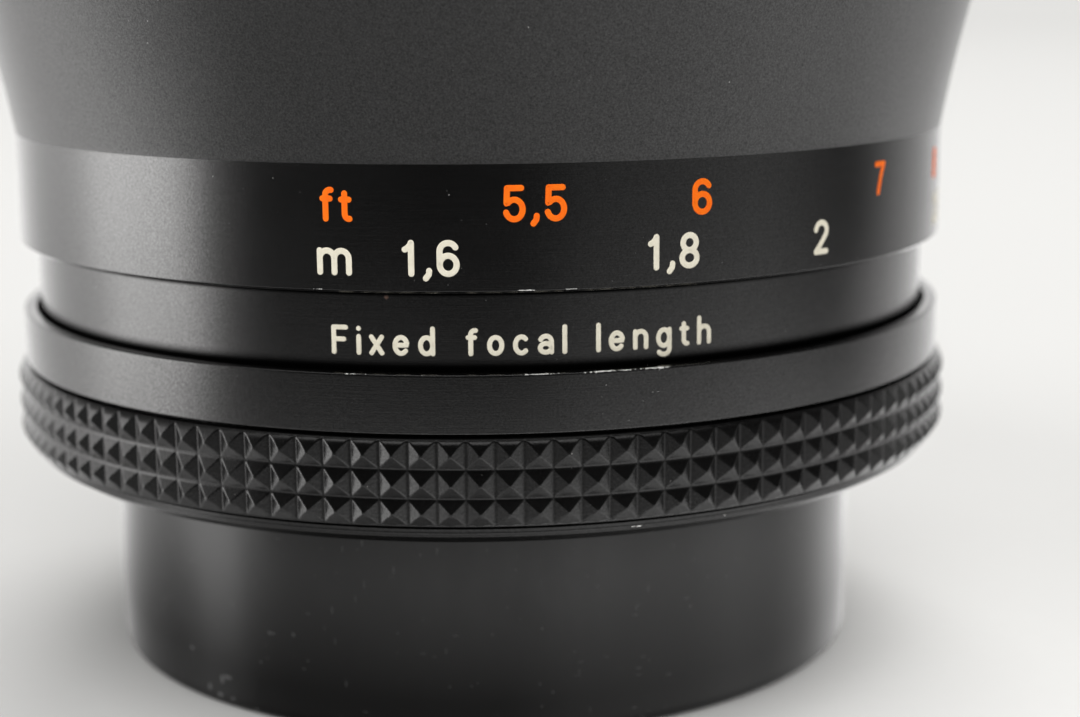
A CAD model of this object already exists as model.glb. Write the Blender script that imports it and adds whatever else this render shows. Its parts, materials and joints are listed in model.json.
import json
import math
from functools import cached_property, reduce

import bpy
import numpy as np
from mathutils import Matrix, Vector

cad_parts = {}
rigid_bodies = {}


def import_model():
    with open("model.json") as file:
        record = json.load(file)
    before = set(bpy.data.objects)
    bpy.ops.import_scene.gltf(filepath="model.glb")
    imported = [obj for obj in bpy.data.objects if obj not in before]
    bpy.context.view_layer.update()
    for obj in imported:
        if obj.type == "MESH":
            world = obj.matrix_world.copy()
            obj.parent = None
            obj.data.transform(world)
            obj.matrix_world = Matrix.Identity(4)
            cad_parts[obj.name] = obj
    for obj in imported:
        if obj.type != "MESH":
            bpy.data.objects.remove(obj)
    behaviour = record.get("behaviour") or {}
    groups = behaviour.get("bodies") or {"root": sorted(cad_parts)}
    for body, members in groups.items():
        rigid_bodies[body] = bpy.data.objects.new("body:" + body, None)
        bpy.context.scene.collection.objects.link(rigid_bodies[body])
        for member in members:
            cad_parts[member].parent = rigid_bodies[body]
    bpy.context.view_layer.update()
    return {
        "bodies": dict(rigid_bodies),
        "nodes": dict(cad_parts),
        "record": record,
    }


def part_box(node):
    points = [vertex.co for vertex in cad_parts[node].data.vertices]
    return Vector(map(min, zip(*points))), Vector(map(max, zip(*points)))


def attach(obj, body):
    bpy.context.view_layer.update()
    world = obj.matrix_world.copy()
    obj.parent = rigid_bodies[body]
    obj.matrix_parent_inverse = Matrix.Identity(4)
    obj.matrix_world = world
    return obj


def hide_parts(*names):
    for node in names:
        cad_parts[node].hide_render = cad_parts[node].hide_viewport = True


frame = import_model()

MM = 0.001                    # one mm in metres
PI = math.pi

CAP_RADIUS = 25.5
INDEX_RADIUS = 30.04          # fixed ring with the index line
STOP_BAND_RADIUS = 31.19      # band of the aperture ring with the f-numbers
FOCUS_BAND_RADIUS = 31.13     # band of the focus ring with the distances
FOCUS_BAND_TOP = 35.04
STOPS = ("2,8", "4", "5,6", "8", "11", "16", "22")
STOP_PITCH = 8.0              # angle from one f-number, and one click, to the next

# ============================================================ mesh helpers
# A shape is a pair (verts, faces). A profile is a list of (r, z), or (r, z, corner radius).


def to_metres(verts):
    return (np.asarray(verts, float) * MM).tolist()


def add_mesh(node, shape, body, materials, new=False, sharp=32.0, face_materials=None,
             weighted=True):
    """Adds a piece. Unless it is new, it takes the CAD node's place, named with _fine."""
    name = node if new else node + "_fine"
    verts, faces = shape
    mesh = bpy.data.meshes.new(name)
    mesh.from_pydata(to_metres(verts), [], faces)
    mesh.update()
    for material in materials:
        mesh.materials.append(material)
    if face_materials is not None:
        mesh.polygons.foreach_set("material_index", np.asarray(face_materials, np.int32))
    mesh.shade_smooth()
    mesh.set_sharp_from_angle(angle=math.radians(sharp))
    piece = bpy.data.objects.new(name, mesh)
    bpy.context.scene.collection.objects.link(piece)
    if weighted:
        normals = piece.modifiers.new("normals", "WEIGHTED_NORMAL")
        normals.keep_sharp = True
        normals.weight = 60
    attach(piece, body)
    if not new:
        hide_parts(node)
    return piece


def rounded(profile, closed=True, steps=3, default=0.07):
    """Each corner becomes a short arc, so every edge catches the light."""
    points = [(*point, default)[:3] for point in profile]
    count = len(points)
    out = []
    for i, (r, z, radius) in enumerate(points):
        if not closed and i in (0, count - 1):
            out.append((r, z))
            continue
        corner = np.array([r, z])
        back = np.array(points[i - 1][:2]) - corner
        ahead = np.array(points[(i + 1) % count][:2]) - corner
        back_length, ahead_length = np.linalg.norm(back), np.linalg.norm(ahead)
        back, ahead = back / back_length, ahead / ahead_length
        angle = math.acos(max(-1, min(1, float(back @ ahead))))
        if radius <= 0 or angle > math.radians(174):
            out.append((r, z))
            continue
        # the arc takes up at most 0.45 of either side
        reach = min(radius / math.tan(angle / 2), 0.45 * back_length, 0.45 * ahead_length)
        radius = reach * math.tan(angle / 2)
        middle = (back + ahead) / np.linalg.norm(back + ahead)
        centre = corner + middle * (radius / math.sin(angle / 2))
        start, end = corner + back * reach - centre, corner + ahead * reach - centre
        first = math.atan2(start[1], start[0])
        turn = (math.atan2(end[1], end[0]) - first + PI) % (2 * PI) - PI
        for k in range(steps + 1):
            a = first + turn * k / steps
            out.append((centre[0] + radius * math.cos(a), centre[1] + radius * math.sin(a)))
    return out


def runs_anticlockwise(profile):
    pairs = zip(profile, [*profile[1:], profile[0]])
    return sum(r0 * z1 - r1 * z0 for (r0, z0), (r1, z1) in pairs) > 0


def bridge(lower, upper):
    """Quads between two closed loops of the same length."""
    count = len(lower)
    return [[lower[i], lower[(i + 1) % count], upper[(i + 1) % count], upper[i]]
            for i in range(count)]


def spin(profile, closed, around):
    """A profile turned round Z, facing out, and the profile step each face belongs to."""
    angles = np.arange(around) * 2 * PI / around
    verts, rings = [], []
    for r, z in profile:
        first = len(verts)
        if r < 1e-6:
            rings.append([first] * around)
            verts.append((0.0, 0.0, z))
        else:
            rings.append(list(range(first, first + around)))
            verts += [(r * math.cos(a), r * math.sin(a), z) for a in angles]
    outward = runs_anticlockwise(profile)
    faces, face_steps = [], []
    following = rings[1:] + (rings[:1] if closed else [])
    for step, (ring, other) in enumerate(zip(rings, following)):
        for quad in bridge(ring, other):
            face = list(dict.fromkeys(quad))
            if len(face) > 2:
                faces.append(face if outward else face[::-1])
                face_steps.append(step)
    return (verts, faces), face_steps


def lathe(node, profile, body, materials, new=False, around=240, closed=True, paint=None,
          arc_steps=3, corner=0.07, sharp=32.0):
    """A turned piece. paint(r, z) picks the material of each band from its middle."""
    profile = rounded(profile, closed, arc_steps, corner)
    shape, face_steps = spin(profile, closed, around)
    face_materials = None
    if paint is not None:
        bands = [paint((r0 + r1) / 2, (z0 + z1) / 2)
                 for (r0, z0), (r1, z1) in zip(profile, profile[1:] + profile[:1])]
        face_materials = [bands[step] for step in face_steps]
    return add_mesh(node, shape, body, materials, new=new, sharp=sharp,
                    face_materials=face_materials)


def sector(profile, start, end, steps):
    """Closed solid: a profile swept between two angles, where 0 is +X."""
    count = len(profile)
    outward = runs_anticlockwise(profile)
    verts, faces = [], []
    for s in range(steps + 1):
        a = math.radians(start + (end - start) * s / steps)
        verts += [(r * math.cos(a), r * math.sin(a), z) for r, z in profile]
    for s in range(steps):
        for i in range(count):
            j = (i + 1) % count
            face = [s * count + i, (s + 1) * count + i, (s + 1) * count + j, s * count + j]
            faces.append(face if outward else face[::-1])
    first, last = list(range(count)), [steps * count + i for i in range(count)]
    faces += [first, last[::-1]] if outward else [first[::-1], last]
    return verts, faces


def join(shapes):
    verts, faces = [], []
    for part_verts, part_faces in shapes:
        first = len(verts)
        verts += list(part_verts)
        faces += [[i + first for i in face] for face in part_faces]
    return verts, faces


def carve(piece, shape):
    """Cuts a closed shape out of a piece, and keeps the result as its mesh."""
    verts, faces = shape
    mesh = bpy.data.meshes.new("cutter")
    mesh.from_pydata(to_metres(verts), [], faces)
    cutter = bpy.data.objects.new("cutter", mesh)
    bpy.context.scene.collection.objects.link(cutter)
    piece.modifiers["normals"].show_viewport = False
    cut = piece.modifiers.new("cut", "BOOLEAN")
    cut.object, cut.operation, cut.solver = cutter, "DIFFERENCE", "EXACT"
    bpy.context.view_layer.update()
    evaluated = piece.evaluated_get(bpy.context.evaluated_depsgraph_get())
    result = bpy.data.meshes.new_from_object(evaluated)
    piece.modifiers.remove(cut)
    piece.modifiers["normals"].show_viewport = True
    piece.data = result
    bpy.data.objects.remove(cutter)


# ============================================================ shader helpers


def operators(operation):
    """The Math node methods for signal-then-value and for value-then-signal."""
    return (lambda self, other: self.net.math(operation, self, other),
            lambda self, other: self.net.math(operation, other, self))


class Signal:
    """A node's output. Arithmetic on it adds Math nodes, with inputs in the order written."""

    __add__, __radd__ = operators("ADD")
    __sub__, __rsub__ = operators("SUBTRACT")
    __mul__, __rmul__ = operators("MULTIPLY")
    __truediv__, __rtruediv__ = operators("DIVIDE")

    def __init__(self, net, socket):
        self.net = net
        self.socket = socket


class Net:
    """A node tree being built. Inputs are {name or index: number, tuple or signal}."""

    def __init__(self, tree):
        self.tree = tree
        tree.nodes.clear()

    def feed(self, socket, value):
        if isinstance(value, Signal):
            self.tree.links.new(value.socket, socket)
        else:
            socket.default_value = value

    def node(self, kind, inputs=None, **properties):
        node = self.tree.nodes.new(kind)
        for name, value in properties.items():
            setattr(node, name, value)
        for key, value in (inputs or {}).items():
            self.feed(node.inputs[key], value)
        return node

    def add(self, kind, inputs=None, output=0, **properties):
        return Signal(self, self.node(kind, inputs, **properties).outputs[output])

    def math(self, operation, first, second=0.0):
        return self.add("ShaderNodeMath", {0: first, 1: second, 2: 0.0}, operation=operation)

    def maximum(self, first, second):
        return self.math("MAXIMUM", first, second)

    def bell(self, u, v):
        """1 where u and v are 0, falling away smoothly."""
        return self.math("EXPONENT", (u * u + v * v) * -1.0)

    def vector(self, operation, first, second):
        return self.add("ShaderNodeVectorMath", {0: first, 1: second}, operation=operation,
                        output="Value" if operation == "DISTANCE" else "Vector")

    def in_mm(self, vector):
        return self.add("ShaderNodeVectorMath", {0: vector, 1: (0, 0, 0), "Scale": 1000.0},
                        output="Vector", operation="SCALE")

    def separate(self, vector):
        outputs = self.node("ShaderNodeSeparateXYZ", {0: vector}).outputs
        return [Signal(self, socket) for socket in outputs]

    def combine(self, x, y, z):
        return self.add("ShaderNodeCombineXYZ", {0: x, 1: y, 2: z})

    def noise(self, vector, scale, detail, rough, warp=0.0):
        return self.add("ShaderNodeTexNoise", {"Vector": vector, "Scale": scale, "Detail": detail,
                                               "Roughness": rough, "Distortion": warp},
                        output="Fac")

    def voronoi(self, vector, scale):
        """Distance to the nearest cell point, and that cell's random colour."""
        outputs = self.node("ShaderNodeTexVoronoi", {"Vector": vector, "Scale": scale}).outputs
        return Signal(self, outputs["Distance"]), Signal(self, outputs["Color"])

    def span(self, value, over, give=(0.0, 1.0), smooth=False):
        """Maps the range over on to the range give, held at its ends."""
        node = self.node("ShaderNodeMapRange", {0: value, 1: over[0], 2: over[1], 3: give[0],
                                                4: give[1]}, clamp=True)
        if smooth:
            node.interpolation_type = "SMOOTHSTEP"
        return Signal(self, node.outputs[0])

    def mix(self, factor, first, second):
        node = self.node("ShaderNodeMix", {"Factor": factor}, data_type="RGBA")
        for name, colour in (("A", first), ("B", second)):
            socket = next(s for s in node.inputs if s.name == name and s.type == "RGBA")
            self.feed(socket, colour if isinstance(colour, Signal) else (*colour, 1.0))
        return Signal(self, next(s for s in node.outputs if s.type == "RGBA"))

    def bump(self, height, strength, depth, normal=None):
        """depth is in metres."""
        inputs = {"Height": height, "Strength": strength, "Distance": depth}
        if normal is not None:
            inputs["Normal"] = normal
        return self.add("ShaderNodeBump", inputs)

    def finish(self, shader, kind="ShaderNodeOutputMaterial"):
        self.node(kind, {"Surface": shader})

    def principled(self, inputs):
        self.finish(self.add("ShaderNodeBsdfPrincipled", inputs))


def new_material(name):
    material = bpy.data.materials.new(name)
    material.use_nodes = True
    return material, Net(material.node_tree)


class Place:
    """Where a point of the piece lies. Each part makes its nodes when it is first used."""

    def __init__(self, net):
        self.net = net
        self.position = net.in_mm(net.add("ShaderNodeTexCoord", output="Object"))

    @cached_property
    def xyz(self):
        return self.net.separate(self.position)

    @property
    def z(self):
        return self.xyz[2]

    @cached_property
    def radius(self):
        x, y, _ = self.xyz
        return self.net.math("SQRT", x * x + y * y)

    @cached_property
    def direction(self):
        """Unit x and y away from the axis."""
        x, y, _ = self.xyz
        safe = self.net.maximum(self.radius, 0.01)
        return x / safe, y / safe

    def shifted(self, x, y, z):
        return self.net.vector("ADD", self.position, (x, y, z))

    def stretched(self, x, y, z):
        return self.net.vector("MULTIPLY", self.position, (x, y, z))


def specks(place, scale, size, share, seed):
    """Sparse small dots, 0..1: one in a share of the cells."""
    net = place.net
    distance, colour = net.voronoi(place.shifted(seed, seed * 1.7, seed * 2.3), scale)
    chosen = net.math("GREATER_THAN", net.separate(colour)[0], 1.0 - share)
    radius = (0.35 + net.separate(colour)[1] * 0.65) * size
    dot = net.span(distance - radius, (-size * 0.3, size * 0.15), (1.0, 0.0))
    return chosen * dot


def fine_ragged(place):
    return place.net.noise(place.shifted(5, 3, 7), scale=4.2, detail=5.0, rough=0.8)


def wear_mask(place, edges, nicks):
    """Where the black is rubbed off: ragged bands on edges, and short nicks."""
    net = place.net
    unit_x, unit_y = place.direction
    ragged = net.noise(place.stretched(0.9, 0.9, 5.0), scale=1.0, detail=6.0, rough=0.7)
    jag = (ragged - 0.5) * 1.6 + (fine_ragged(place) - 0.5) * 2.2

    def near_edge(z, radius, width):
        return net.bell((place.z - z) / width, (place.radius - radius) / width)

    masks = []
    for z, radius, width, amount in edges:
        level = near_edge(z, radius, width) * 0.9 + (jag + (amount - 1.45))
        masks.append(net.span(level, (0.0, 0.12)))
    for z, radius, width, centre, half_arc, amount in nicks:
        level = near_edge(z, radius, width) + (jag * 1.5 + (amount - 1.0))
        a = math.radians(centre)
        facing = unit_x * math.sin(a) + unit_y * -math.cos(a)
        gate = net.span(facing, (math.cos(math.radians(half_arc)),
                                 math.cos(math.radians(half_arc * 0.85))))
        masks.append(net.span(level, (0.0, 0.10)) * gate)
    return reduce(net.maximum, masks)


# ============================================================ materials


def anodised(name, rough, grain=1.0, glitter=2.6, spots=1.0, above=None, recess=None,
             threads=None, edges=(), nicks=(), stains=()):
    """Satin black anodised aluminium: turned lines, a fine blasted grain and dust.
    grain: depth of the blasting. glitter: how strongly it shows in reflections. spots: dust.
    above: (z, roughness, grain) over that height. threads: (z0, z1, pitch).
    recess: (z0, z1, z2, z3, least), dark below z0 and above z3.
    edges: (z, radius, width, amount), rubbed all round.
    nicks: (z, radius, width, centre, half arc, amount), through to bare metal.
    stains: (z, radius, centre, size). Centres are angles from -Y towards +X."""
    base = 0.0016
    dust, stain_brown = (0.42, 0.42, 0.41), (0.13, 0.055, 0.03)
    shade, bare = (0.0006, 0.0006, 0.0006), (0.93, 0.92, 0.90)
    material, net = new_material(name)
    place = Place(net)
    radius, z = place.radius, place.z
    unit_x, unit_y = place.direction

    # textures: grain runs long round the axis and fine along it
    turned = net.combine(unit_x * 5.0, unit_y * 5.0, (z + radius) * 13.0)
    fine_lines = net.noise(turned, scale=1.0, detail=4.0, rough=0.7)
    broad = net.noise(net.combine(unit_x * 3.0, unit_y * 3.0, z * 0.25),
                      scale=1.0, detail=3.0, rough=0.6)
    blasted = net.noise(place.position, scale=11.0, detail=3.0, rough=0.65)
    patch = net.noise(place.position, scale=0.22, detail=4.0, rough=0.6)
    cluster_noise = net.noise(place.shifted(21, 4, 9), scale=0.16, detail=3.0, rough=0.6)
    clusters = net.span(cluster_noise, (0.47, 0.60), (0.10, 1.0))
    large = specks(place, scale=0.9, size=0.040, share=0.26 * spots, seed=3.1) * 0.9
    small = specks(place, scale=2.3, size=0.07, share=0.22 * spots, seed=11.7) * 0.55
    dots = net.maximum(large, small) * clusters
    tone = base * 0.7 + patch * (base * 0.6)
    colour = net.mix(dots, net.combine(tone * 1.04, tone, tone), dust)

    depth = grain
    if above:
        above_z, above_rough, above_grain = above
        high = net.span(z, (above_z - 0.02, above_z + 0.02))
        rough = rough + high * (above_rough - rough)
        depth = grain + high * (above_grain - grain)
    # each texture's share in the roughness
    rough = (rough + (fine_lines - 0.5) * 0.05 + (broad - 0.5) * 0.05 + (patch - 0.5) * 0.06
             + dots * 0.3 + (blasted - 0.5) * depth * 0.10)
    normal = net.bump(fine_lines, strength=0.35, depth=0.00001)
    normal = net.bump(blasted * depth, strength=0.5, depth=0.000016, normal=normal)
    normal = net.bump(dots, strength=0.5, depth=0.00003, normal=normal)
    if threads:
        low, high, pitch = threads
        wave = net.math("SINE", z * (2 * PI / pitch))
        inside = net.span(z, (low, low + 0.05)) * net.span(z, (high - 0.05, high), (1.0, 0.0))
        normal = net.bump(wave * inside, strength=0.8, depth=0.0002, normal=normal)

    for stain_z, stain_radius, centre, size in stains:
        a = math.radians(centre)
        middle = (stain_radius * math.sin(a), -stain_radius * math.cos(a), stain_z)
        distance = net.vector("DISTANCE", place.position, middle)
        uneven = distance + (fine_ragged(place) - 0.5) * (size * 1.4)
        spot = net.span(uneven, (size * 0.4, size), (0.85, 0.0))
        colour = net.mix(spot, colour, stain_brown)
        rough = rough + spot * 0.25

    level = 1.0
    if recess:
        z0, z1, z2, z3, least = recess
        level = (net.span(z, (z0, z1), (0.02, 1.0), smooth=True)
                 * net.span(z, (z2, z3), (1.0, 0.02)))
        level = net.maximum(level, least)
        colour = net.mix(1.0 - level, colour, shade)
    glint = net.noise(place.position, scale=8.5, detail=2.0, rough=0.75)
    level = level * (1.0 + (glint - 0.5) * (net.maximum(depth, 0.55) * glitter))

    metallic = 0.0
    if edges or nicks:
        worn = wear_mask(place, edges, nicks)
        colour = net.mix(worn, colour, bare)
        metallic = worn * 0.45
        rough = rough + worn * 0.15
    net.principled({"Base Color": colour, "Roughness": rough, "IOR": 1.95, "Normal": normal,
                    "Metallic": metallic, "Specular IOR Level": level * 0.5})
    return material


# Scratches: stretch along x, y and z, and the share of cells that hold one.
SCRATCHES = [(3.0, 3.0, 0.8, 0.45), (1.0, 1.0, 4.0, 0.35), (2.6, 1.2, 2.2, 0.45)]
# Small knocks on the cap's wall: angle from -Y towards +X, height, half width, half height,
# strength.
KNOCKS = [
    (-45.3, 1.75, 0.17, 0.40, 0.8), (-44.2, 2.02, 0.48, 0.14, 0.7), (-48.0, 1.0, 0.18, 0.28, 0.7),
    (-45.75, 0.72, 0.32, 0.16, 0.9), (-43.25, 0.68, 0.24, 0.14, 0.7),
    (-38.75, 0.42, 0.22, 0.12, 0.5), (-51.75, 3.2, 0.34, 0.17, 0.5), (-36.0, 5.6, 0.14, 0.14, 0.6),
    (-32.0, 5.7, 0.13, 0.12, 0.6), (24.0, 7.6, 0.3, 0.1, 0.4), (118.0, 4.2, 0.5, 0.12, 0.6),
    (121.0, 3.5, 0.2, 0.2, 0.6), (203.0, 8.1, 0.4, 0.13, 0.5),
]


def scratch_mask(place):
    """Short scratches all over, and the knocks."""
    net = place.net
    unit_x, unit_y = place.direction
    layers = []
    for k, (stretch_x, stretch_y, stretch_z, share) in enumerate(SCRATCHES):
        shifted = place.shifted(k * 7.0, k * 3.0, k)
        stretched = net.vector("MULTIPLY", shifted, (stretch_x, stretch_y, stretch_z))
        distance, colour = net.voronoi(stretched, 0.55)
        picked = net.math("GREATER_THAN", net.separate(colour)[0], 1.0 - share)
        cloud = net.noise(place.shifted(0, k * 5.0, 2.0), scale=0.2, detail=3.0, rough=0.5)
        line = net.span(distance, (0.04, 0.15), (1.0, 0.0))
        layers.append(line * picked * net.span(cloud, (0.44, 0.58)))
    mask = reduce(net.maximum, layers) * 0.6
    ragged = net.noise(place.position, scale=2.6, detail=4.0, rough=0.7)
    for angle, z, half_width, half_height, strength in KNOCKS:
        a = math.radians(angle)
        sideways = unit_x * math.cos(a) + unit_y * math.sin(a)
        along = sideways * CAP_RADIUS / half_width
        near_side = net.math("LESS_THAN", unit_x * -math.sin(a) + unit_y * math.cos(a), 0.0)
        bell = net.bell(along, (place.z - z) / half_height)
        knock = net.span(bell + (ragged - 0.5) * 1.1, (0.4, 0.75), (0.0, strength))
        mask = net.maximum(mask, knock * near_side)
    return mask


def moulded(name, base, rough, ior, smudge, spots, grain, soft=0.0, marked=False, grime=None,
            foot=None):
    """Black moulded plastic or rubber: soft smudges, fine texture and dust.
    soft: how far edges are rounded. marked: with scratches and knocks.
    grime: (r0, r1, least), dull inside r1. foot: (z0, z1, least), duller below z1."""
    dust, scuffed = (0.26, 0.25, 0.24), (0.15, 0.15, 0.15)
    material, net = new_material(name)
    place = Place(net)
    cloud = net.noise(place.position, scale=0.12, detail=5.0, rough=0.62, warp=0.6)
    fine = net.noise(place.position, scale=7.0, detail=3.0, rough=0.6)
    smear = net.noise(place.stretched(0.5, 0.5, 0.09), scale=1.0, detail=4.0, rough=0.6, warp=0.8)
    large = specks(place, scale=0.7, size=0.035, share=0.22 * spots, seed=5.9)
    small = specks(place, scale=1.6, size=0.06, share=0.16 * spots, seed=1.3) * 0.5
    dots = net.maximum(large, small)
    tone = base * 0.8 + cloud * (base * 0.4)
    colour = net.mix(dots, net.combine(tone, tone * 0.98, tone * 0.97), dust)
    rough = rough + (cloud - 0.5) * (smudge * 2.0) + (smear - 0.5) * smudge
    normal = net.add("ShaderNodeBevel", {"Radius": soft * MM}, samples=6) if soft else None
    normal = net.bump(fine, strength=0.3, depth=0.00001 * grain, normal=normal)
    if marked:
        marks = scratch_mask(place)
        rough = rough + marks * 0.2
        colour = net.mix(marks * 0.5, colour, scuffed)
        normal = net.bump(marks, strength=-0.5, depth=0.00002, normal=normal)
    level = 0.5
    if grime:
        level = net.span(place.radius, grime[:2], (grime[2], 1.0)) * 0.5
    if foot:
        level = net.span(place.z, foot[:2], (foot[2], 1.0), smooth=True) * level
    glint = net.noise(place.position, scale=8.0, detail=2.0, rough=0.75)
    level = level * (1.0 + (glint - 0.5) * (0.5 * grain))
    net.principled({"Base Color": colour, "Roughness": rough, "IOR": ior, "Normal": normal,
                    "Specular IOR Level": level})
    return material


def turned_metal(name, colour, rough, spread=0.12, dark=(0.3, 0.25, 0.18)):
    """Bare turned metal: fine rings of grain, and tarnish that multiplies colour by dark."""
    material, net = new_material(name)
    place = Place(net)
    unit_x, unit_y = place.direction
    turned = net.combine(unit_x * 3.0, unit_y * 3.0, (place.z + place.radius * 1.3) * 7.0)
    fine = net.noise(turned, scale=1.0, detail=4.0, rough=0.7)
    stain = net.noise(place.position, scale=0.3, detail=5.0, rough=0.65, warp=0.5)
    tarnished = tuple(a * b for a, b in zip(colour, dark))
    net.principled({"Base Color": net.mix(net.span(stain, (0.5, 0.8), (0.0, 0.5)), colour,
                                          tarnished),
                    "Roughness": rough - spread / 2 + fine * spread + stain * 0.1,
                    "Metallic": 1.0, "Normal": net.bump(fine, strength=0.3, depth=0.00001)})
    return material


def matt_black(name, rib_pitch=None):
    """Flat black inside surfaces, with anti-reflection ribs where asked."""
    material, net = new_material(name)
    place = Place(net)
    fine = net.noise(place.position, scale=10.0, detail=3.0, rough=0.6)
    cloud = net.noise(place.position, scale=0.3, detail=4.0, rough=0.6)
    tone = 0.006 + cloud * 0.007
    normal = net.bump(fine, strength=0.4, depth=0.00001)
    if rib_pitch:
        ribs = net.math("PINGPONG", place.z * (1.0 / rib_pitch), 0.5)
        normal = net.bump(ribs, strength=0.7, depth=rib_pitch * 0.0009, normal=normal)
    net.principled({"Base Color": net.combine(tone, tone, tone),
                    "Roughness": 0.52 + cloud * 0.2, "IOR": 1.45, "Normal": normal})
    return material


def paint_fill(name, colour, deep):
    """Paint filled into engraving: a little uneven, deeper in patches, dark in its pits."""
    material, net = new_material(name)
    place = Place(net)
    cloud = net.noise(place.position, scale=2.2, detail=3.0, rough=0.6)
    fine = net.noise(place.position, scale=14.0, detail=2.0, rough=0.6)
    pits = specks(place, scale=2.6, size=0.09, share=0.12, seed=8.3)
    colour = net.mix(net.span(cloud, (0.35, 0.75), (0.0, 0.7)), colour, deep)
    colour = net.mix(pits * 0.6, colour, tuple(part * 0.45 for part in deep))
    normal = net.bump(fine + cloud * 2.0, strength=0.3, depth=0.00001)
    net.principled({"Base Color": colour, "Roughness": 0.5, "IOR": 1.3, "Normal": normal})
    return material


def glass(name, film):
    """Coated optical glass with a trace of dust. film: the coating's thickness in nm."""
    material, net = new_material(name)
    place = Place(net)
    dust = specks(place, scale=0.45, size=0.03, share=0.35, seed=2.2)
    haze = net.noise(place.position, scale=0.25, detail=4.0, rough=0.6)
    net.principled({"Base Color": (0.97, 0.99, 0.98, 1.0),
                    "Roughness": net.span(haze, (0.5, 0.9)) * 0.02 + dust * 0.4,
                    "IOR": 1.62, "Transmission Weight": 1.0,
                    "Thin Film Thickness": film, "Thin Film IOR": 1.38})
    return material


def felt(name):
    material, net = new_material(name)
    fibre = net.noise(Place(net).position, scale=6.0, detail=6.0, rough=0.75, warp=1.5)
    tone = 0.004 + fibre * 0.02
    net.principled({"Base Color": net.combine(tone, tone, tone), "Roughness": 0.95,
                    "Sheen Weight": 0.4, "Normal": net.bump(fibre, strength=0.9, depth=0.00008)})
    return material


# z, radius, width, centre, half arc, amount
FOCUS_NICKS = [
    (28.12, FOCUS_BAND_RADIUS, 0.04, -0.2, 0.9, 0.25),
    (28.12, FOCUS_BAND_RADIUS, 0.04, 4.4, 0.6, 0.15),
    (28.12, FOCUS_BAND_RADIUS, 0.04, -21.5, 0.5, 0.1),
]
APERTURE_NICKS = [
    (23.42, 31.12, 0.065, 1.3, 1.9, 0.12), (23.42, 31.12, 0.075, 7.3, 1.7, 0.16),
    (23.42, 31.12, 0.075, 10.8, 4.3, 0.24), (23.42, 31.12, 0.04, -17.7, 1.2, 0.2),
    (23.42, 31.12, 0.04, -10.0, 1.0, 0.05), (14.24, 30.72, 0.04, 11.6, 0.6, 0.12),
    (14.24, 30.72, 0.04, 21.9, 0.4, 0.05),
]
RUBBER = dict(base=0.003, rough=0.22, ior=1.64, smudge=0.10, spots=2.0, grain=2.4, soft=0.09)

LOOKS = {
    "focus": anodised("focus_black", rough=0.20, grain=0.35, above=(FOCUS_BAND_TOP, 0.33, 0.75),
                      spots=2.2, edges=[(48.3, 34.35, 0.10, 0.45)], nicks=FOCUS_NICKS),
    "index": anodised("index_black", rough=0.21, grain=0.4,
                      stains=[(27.60, INDEX_RADIUS, -14.8, 0.16)],
                      recess=(23.55, 24.25, 27.58, 27.74, 0.02)),
    "aperture": anodised("aperture_black", rough=0.21, grain=0.6,
                         recess=(14.60, 14.70, 90, 91, 0.5), edges=[(13.5, 30.3, 0.1, 0.4)],
                         nicks=APERTURE_NICKS),
    "front": anodised("front_black", rough=0.27, grain=0.8, glitter=1.0,
                      edges=[(90.3, 32.9, 0.12, 0.5)]),
    "tube": anodised("tube_black", rough=0.30, glitter=0.9),
    "thread": anodised("thread_black", rough=0.30, threads=(44.3, 57.8, 0.8), glitter=0.9),
    "grip": moulded("grip_rubber", grime=(34.42, 34.52, 0.8), **RUBBER),
    "grip_low": moulded("grip_rubber_low", grime=(31.34, 31.44, 0.8), **RUBBER),
    "cap": moulded("cap_plastic", base=0.005, rough=0.155, ior=1.52, smudge=0.08, spots=2.4,
                   grain=0.6, marked=True, foot=(0.0, 1.0, 0.08)),
    "chrome": turned_metal("mount_chrome", (0.66, 0.66, 0.65), rough=0.26, dark=(0.5, 0.48, 0.45)),
    "brass": turned_metal("turned_brass", (0.70, 0.50, 0.22), rough=0.34),
    "steel": turned_metal("plain_steel", (0.52, 0.52, 0.52), rough=0.32, dark=(0.5, 0.45, 0.4)),
    "blade": turned_metal("blade_steel", (0.045, 0.046, 0.052), rough=0.40, spread=0.08,
                          dark=(0.6, 0.6, 0.6)),
    "black": matt_black("matt_black"),
    "ribbed": matt_black("ribbed_black", rib_pitch=0.7),
    "felt": felt("felt"),
    "orange": paint_fill("scale_orange", (1.0, 0.185, 0.002), deep=(1.0, 0.12, 0.002)),
    "cream": paint_fill("scale_cream", (0.82, 0.775, 0.645), deep=(0.70, 0.65, 0.52)),
    "red": paint_fill("dot_red", (0.62, 0.02, 0.012), deep=(0.45, 0.012, 0.008)),   # spare
}
FILMS = {"a": 118.0, "b": 105.0, "c": 130.0, "d": 112.0, "e": 125.0}
GLASSES = {key: glass("glass_" + key, film) for key, film in FILMS.items()}

# ============================================================ grips: rows of small pyramids


def flank(inward):
    """Height share across half a cell: a flat channel, a straight flank, a blunt tip."""
    return min(max((inward - 0.06) / 0.86, 0.0), 1.0)


def end_face_z(share, apex, edge, kept, length):
    """Height on a face that runs from the apex out into the band's edge, by height share."""
    way = 1 if edge > apex else -1
    knee = edge - way * length
    if share >= kept:
        return apex + way * 0.1 + (knee - apex - way * 0.1) * (1 - share) / (1 - kept)
    return knee + way * length * math.sin((1 - share / kept) * PI / 2) ** 0.8


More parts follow.
